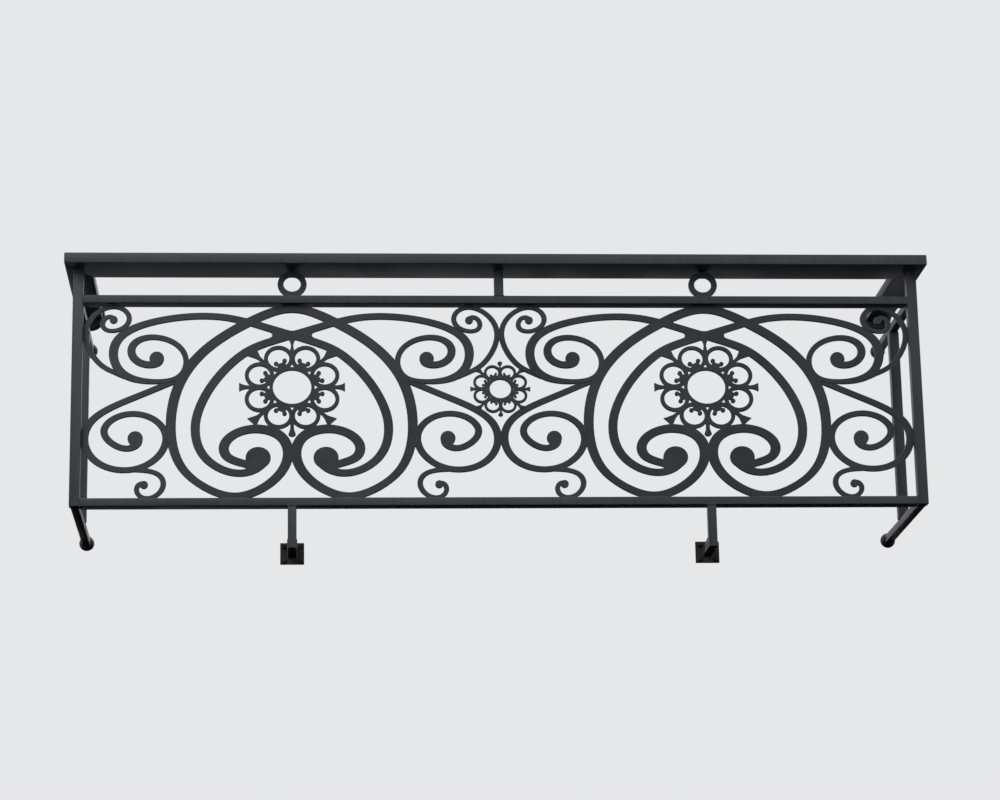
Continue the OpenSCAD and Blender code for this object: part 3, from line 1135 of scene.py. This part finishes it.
@dataclass
class Studio:
    """Camera, lights, sky and floor.

    Attributes:
        camera_at: The camera's place.
        aim: What camera and lights point at.
        lens: The camera's focal length, in millimetres.
        roll: The camera's tilt sideways, in degrees.
        sight: How far the camera sees.
        floor_z: The floor's height.
        floor_reach: Half the floor's side.
        floor_roughness: The floor's roughness.
        flag_z: The black card's height.
        flag_reach: Half the card's side.
        sky_colour: The sky.
        lights: The lights.
    """

    camera_at: Vector
    aim: Vector
    lens: float = 107.0
    roll: float = -1.1
    sight: float = 400.0
    floor_z: float = -4.2
    floor_reach: float = 160.0
    floor_roughness: float = 0.9
    flag_z: float = -0.7
    flag_reach: float = 9.0
    sky_colour: Colour = (0.79, 0.8, 0.815)
    lights: tuple[Softbox, ...] = (
        Softbox("key_light", (-5.0, -7.5, 6.0), 420.0, (1.0, 0.99, 0.975)),
        Softbox("back_light", (3.0, 6.5, 6.5), 240.0, (0.97, 0.985, 1.0)))

    def build(self) -> None:
        """Sets up everything around the railing."""
        self.camera()
        self.sky()
        self.flag()
        self.floor()
        for light in self.lights:
            light.hang(self.aim)

    def camera(self) -> None:
        """Stands the camera below and a little left of the railing, as the photographer stood."""
        data = bpy.data.cameras.new("camera")
        data.sensor_width = 36.0
        data.sensor_fit = "HORIZONTAL"
        data.lens = self.lens
        data.clip_end = self.sight
        camera = bpy.data.objects.new("camera", data)
        view = (self.aim - self.camera_at).to_track_quat("-Z", "Y").to_matrix().to_4x4()
        roll = Matrix.Rotation(math.radians(self.roll), 4, "Z")
        camera.matrix_world = Matrix.Translation(self.camera_at) @ view @ roll
        bpy.context.scene.collection.objects.link(camera)
        bpy.context.scene.camera = camera
        bpy.context.scene.view_settings.view_transform = "Standard"

    def sky(self) -> None:
        """Makes the pale, even sky, which is also the backdrop."""
        world = bpy.data.worlds.new("studio_sky")
        bpy.context.scene.world = world
        world.use_nodes = True
        world.node_tree.nodes["Background"].inputs["Color"].default_value = rgba(self.sky_colour)

    def lay(self, name: str, reach: float, level: float,
            finish: bpy.types.Material) -> bpy.types.Object:
        """Lays a level square of staging under the railing.

        Args:
            name: The square's name.
            reach: Half its side.
            level: Its height.
            finish: Its material.

        Returns:
            The new object.
        """
        mesh = bmesh.new()
        bmesh.ops.create_grid(mesh, x_segments=1, y_segments=1, size=reach,
                              matrix=Matrix.Translation((self.aim.x, self.aim.y, level)))
        data = bpy.data.meshes.new(name)
        mesh.to_mesh(data)
        mesh.free()
        data.materials.append(finish)
        square = bpy.data.objects.new(name, data)
        bpy.context.scene.collection.objects.link(square)
        return square

    def flag(self) -> None:
        """Hangs a black card below the railing, out of the camera's sight, to keep undersides dark."""
        shop = PaintShop("flag_cloth")
        shop.feed(shop.shader.inputs["Base Color"],
                  shop.blend(shop.noise(3.0, 3.0), (0.004, 0.004, 0.005), (0.01, 0.01, 0.012)))
        shop.shader.inputs["Roughness"].default_value = 1.0
        shop.shader.inputs["Specular IOR Level"].default_value = 0.0
        self.open_from_below(shop)
        card = self.lay("black_flag", self.flag_reach, self.flag_z, shop.material)
        card.visible_camera = False
        card.visible_shadow = False

    def open_from_below(self, shop: PaintShop) -> None:
        """Lets light through a card from its back, so that it doesn't darken the floor.

        Args:
            shop: The card's material.
        """
        mix = shop.node("ShaderNodeMixShader")
        shop.feed(mix.inputs[0], shop.node("ShaderNodeNewGeometry").outputs["Backfacing"])
        shop.feed(mix.inputs[1], shop.shader.outputs[0])
        shop.feed(mix.inputs[2], shop.node("ShaderNodeBsdfTransparent").outputs[0])
        shop.feed(shop.tree.nodes["Material Output"].inputs["Surface"], mix.outputs[0])

    def floor(self) -> None:
        """Lays a wide floor far below the railing, which the camera sees as pale as the sky."""
        shop = PaintShop("floor_paint")
        cloud = shop.noise(0.25, 2.0)
        lit = shop.blend(cloud, (0.735, 0.745, 0.76), (0.77, 0.78, 0.79))
        shown = shop.blend(cloud, (0.91, 0.92, 0.935), (0.93, 0.94, 0.955))
        seen = shop.node("ShaderNodeLightPath").outputs["Is Camera Ray"]
        shop.feed(shop.shader.inputs["Base Color"], shop.blend(seen, lit, shown))
        shop.shader.inputs["Roughness"].default_value = self.floor_roughness
        self.lay("studio_floor", self.floor_reach, self.floor_z, shop.material)


def main() -> None:
    """Builds the railing's looks around the frame, piece by piece."""
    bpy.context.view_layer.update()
    logging.basicConfig(level=logging.INFO, format="%(name)s: %(message)s")
    railing_paint = IronPaint("railing_paint", colour=(0.031, 0.038, 0.049),
                              faded=(0.045, 0.054, 0.067), warm=(0.036, 0.041, 0.046)).material()
    # The scroll paint is darker than the railing paint; part of that darkness is painted shade, the
    # shade the scrollwork lies in.
    scroll_paint = IronPaint("scroll_paint", colour=(0.019, 0.0245, 0.033),
                             faded=(0.033, 0.04, 0.051), warm=(0.037, 0.037, 0.036),
                             streaks=0.3, unevenness=0.0012).material()
    ball_paint = IronPaint("ball_paint", colour=(0.02, 0.024, 0.03), faded=(0.028, 0.033, 0.04),
                           warm=(0.03, 0.03, 0.03), roughness=0.4).material()
    Studio(camera_at=Vector((0.0115, -10.723, -2.332)), aim=Vector((0.7685, -0.12, 0.555))).build()
    RailFrame(railing_paint).build()
    Scrollwork(scroll_paint).build()
    FriezeRings(railing_paint).build()
    AnchorBalls(ball_paint).build()
    Supports(railing_paint).build()


if __name__ == "__main__":
    main()
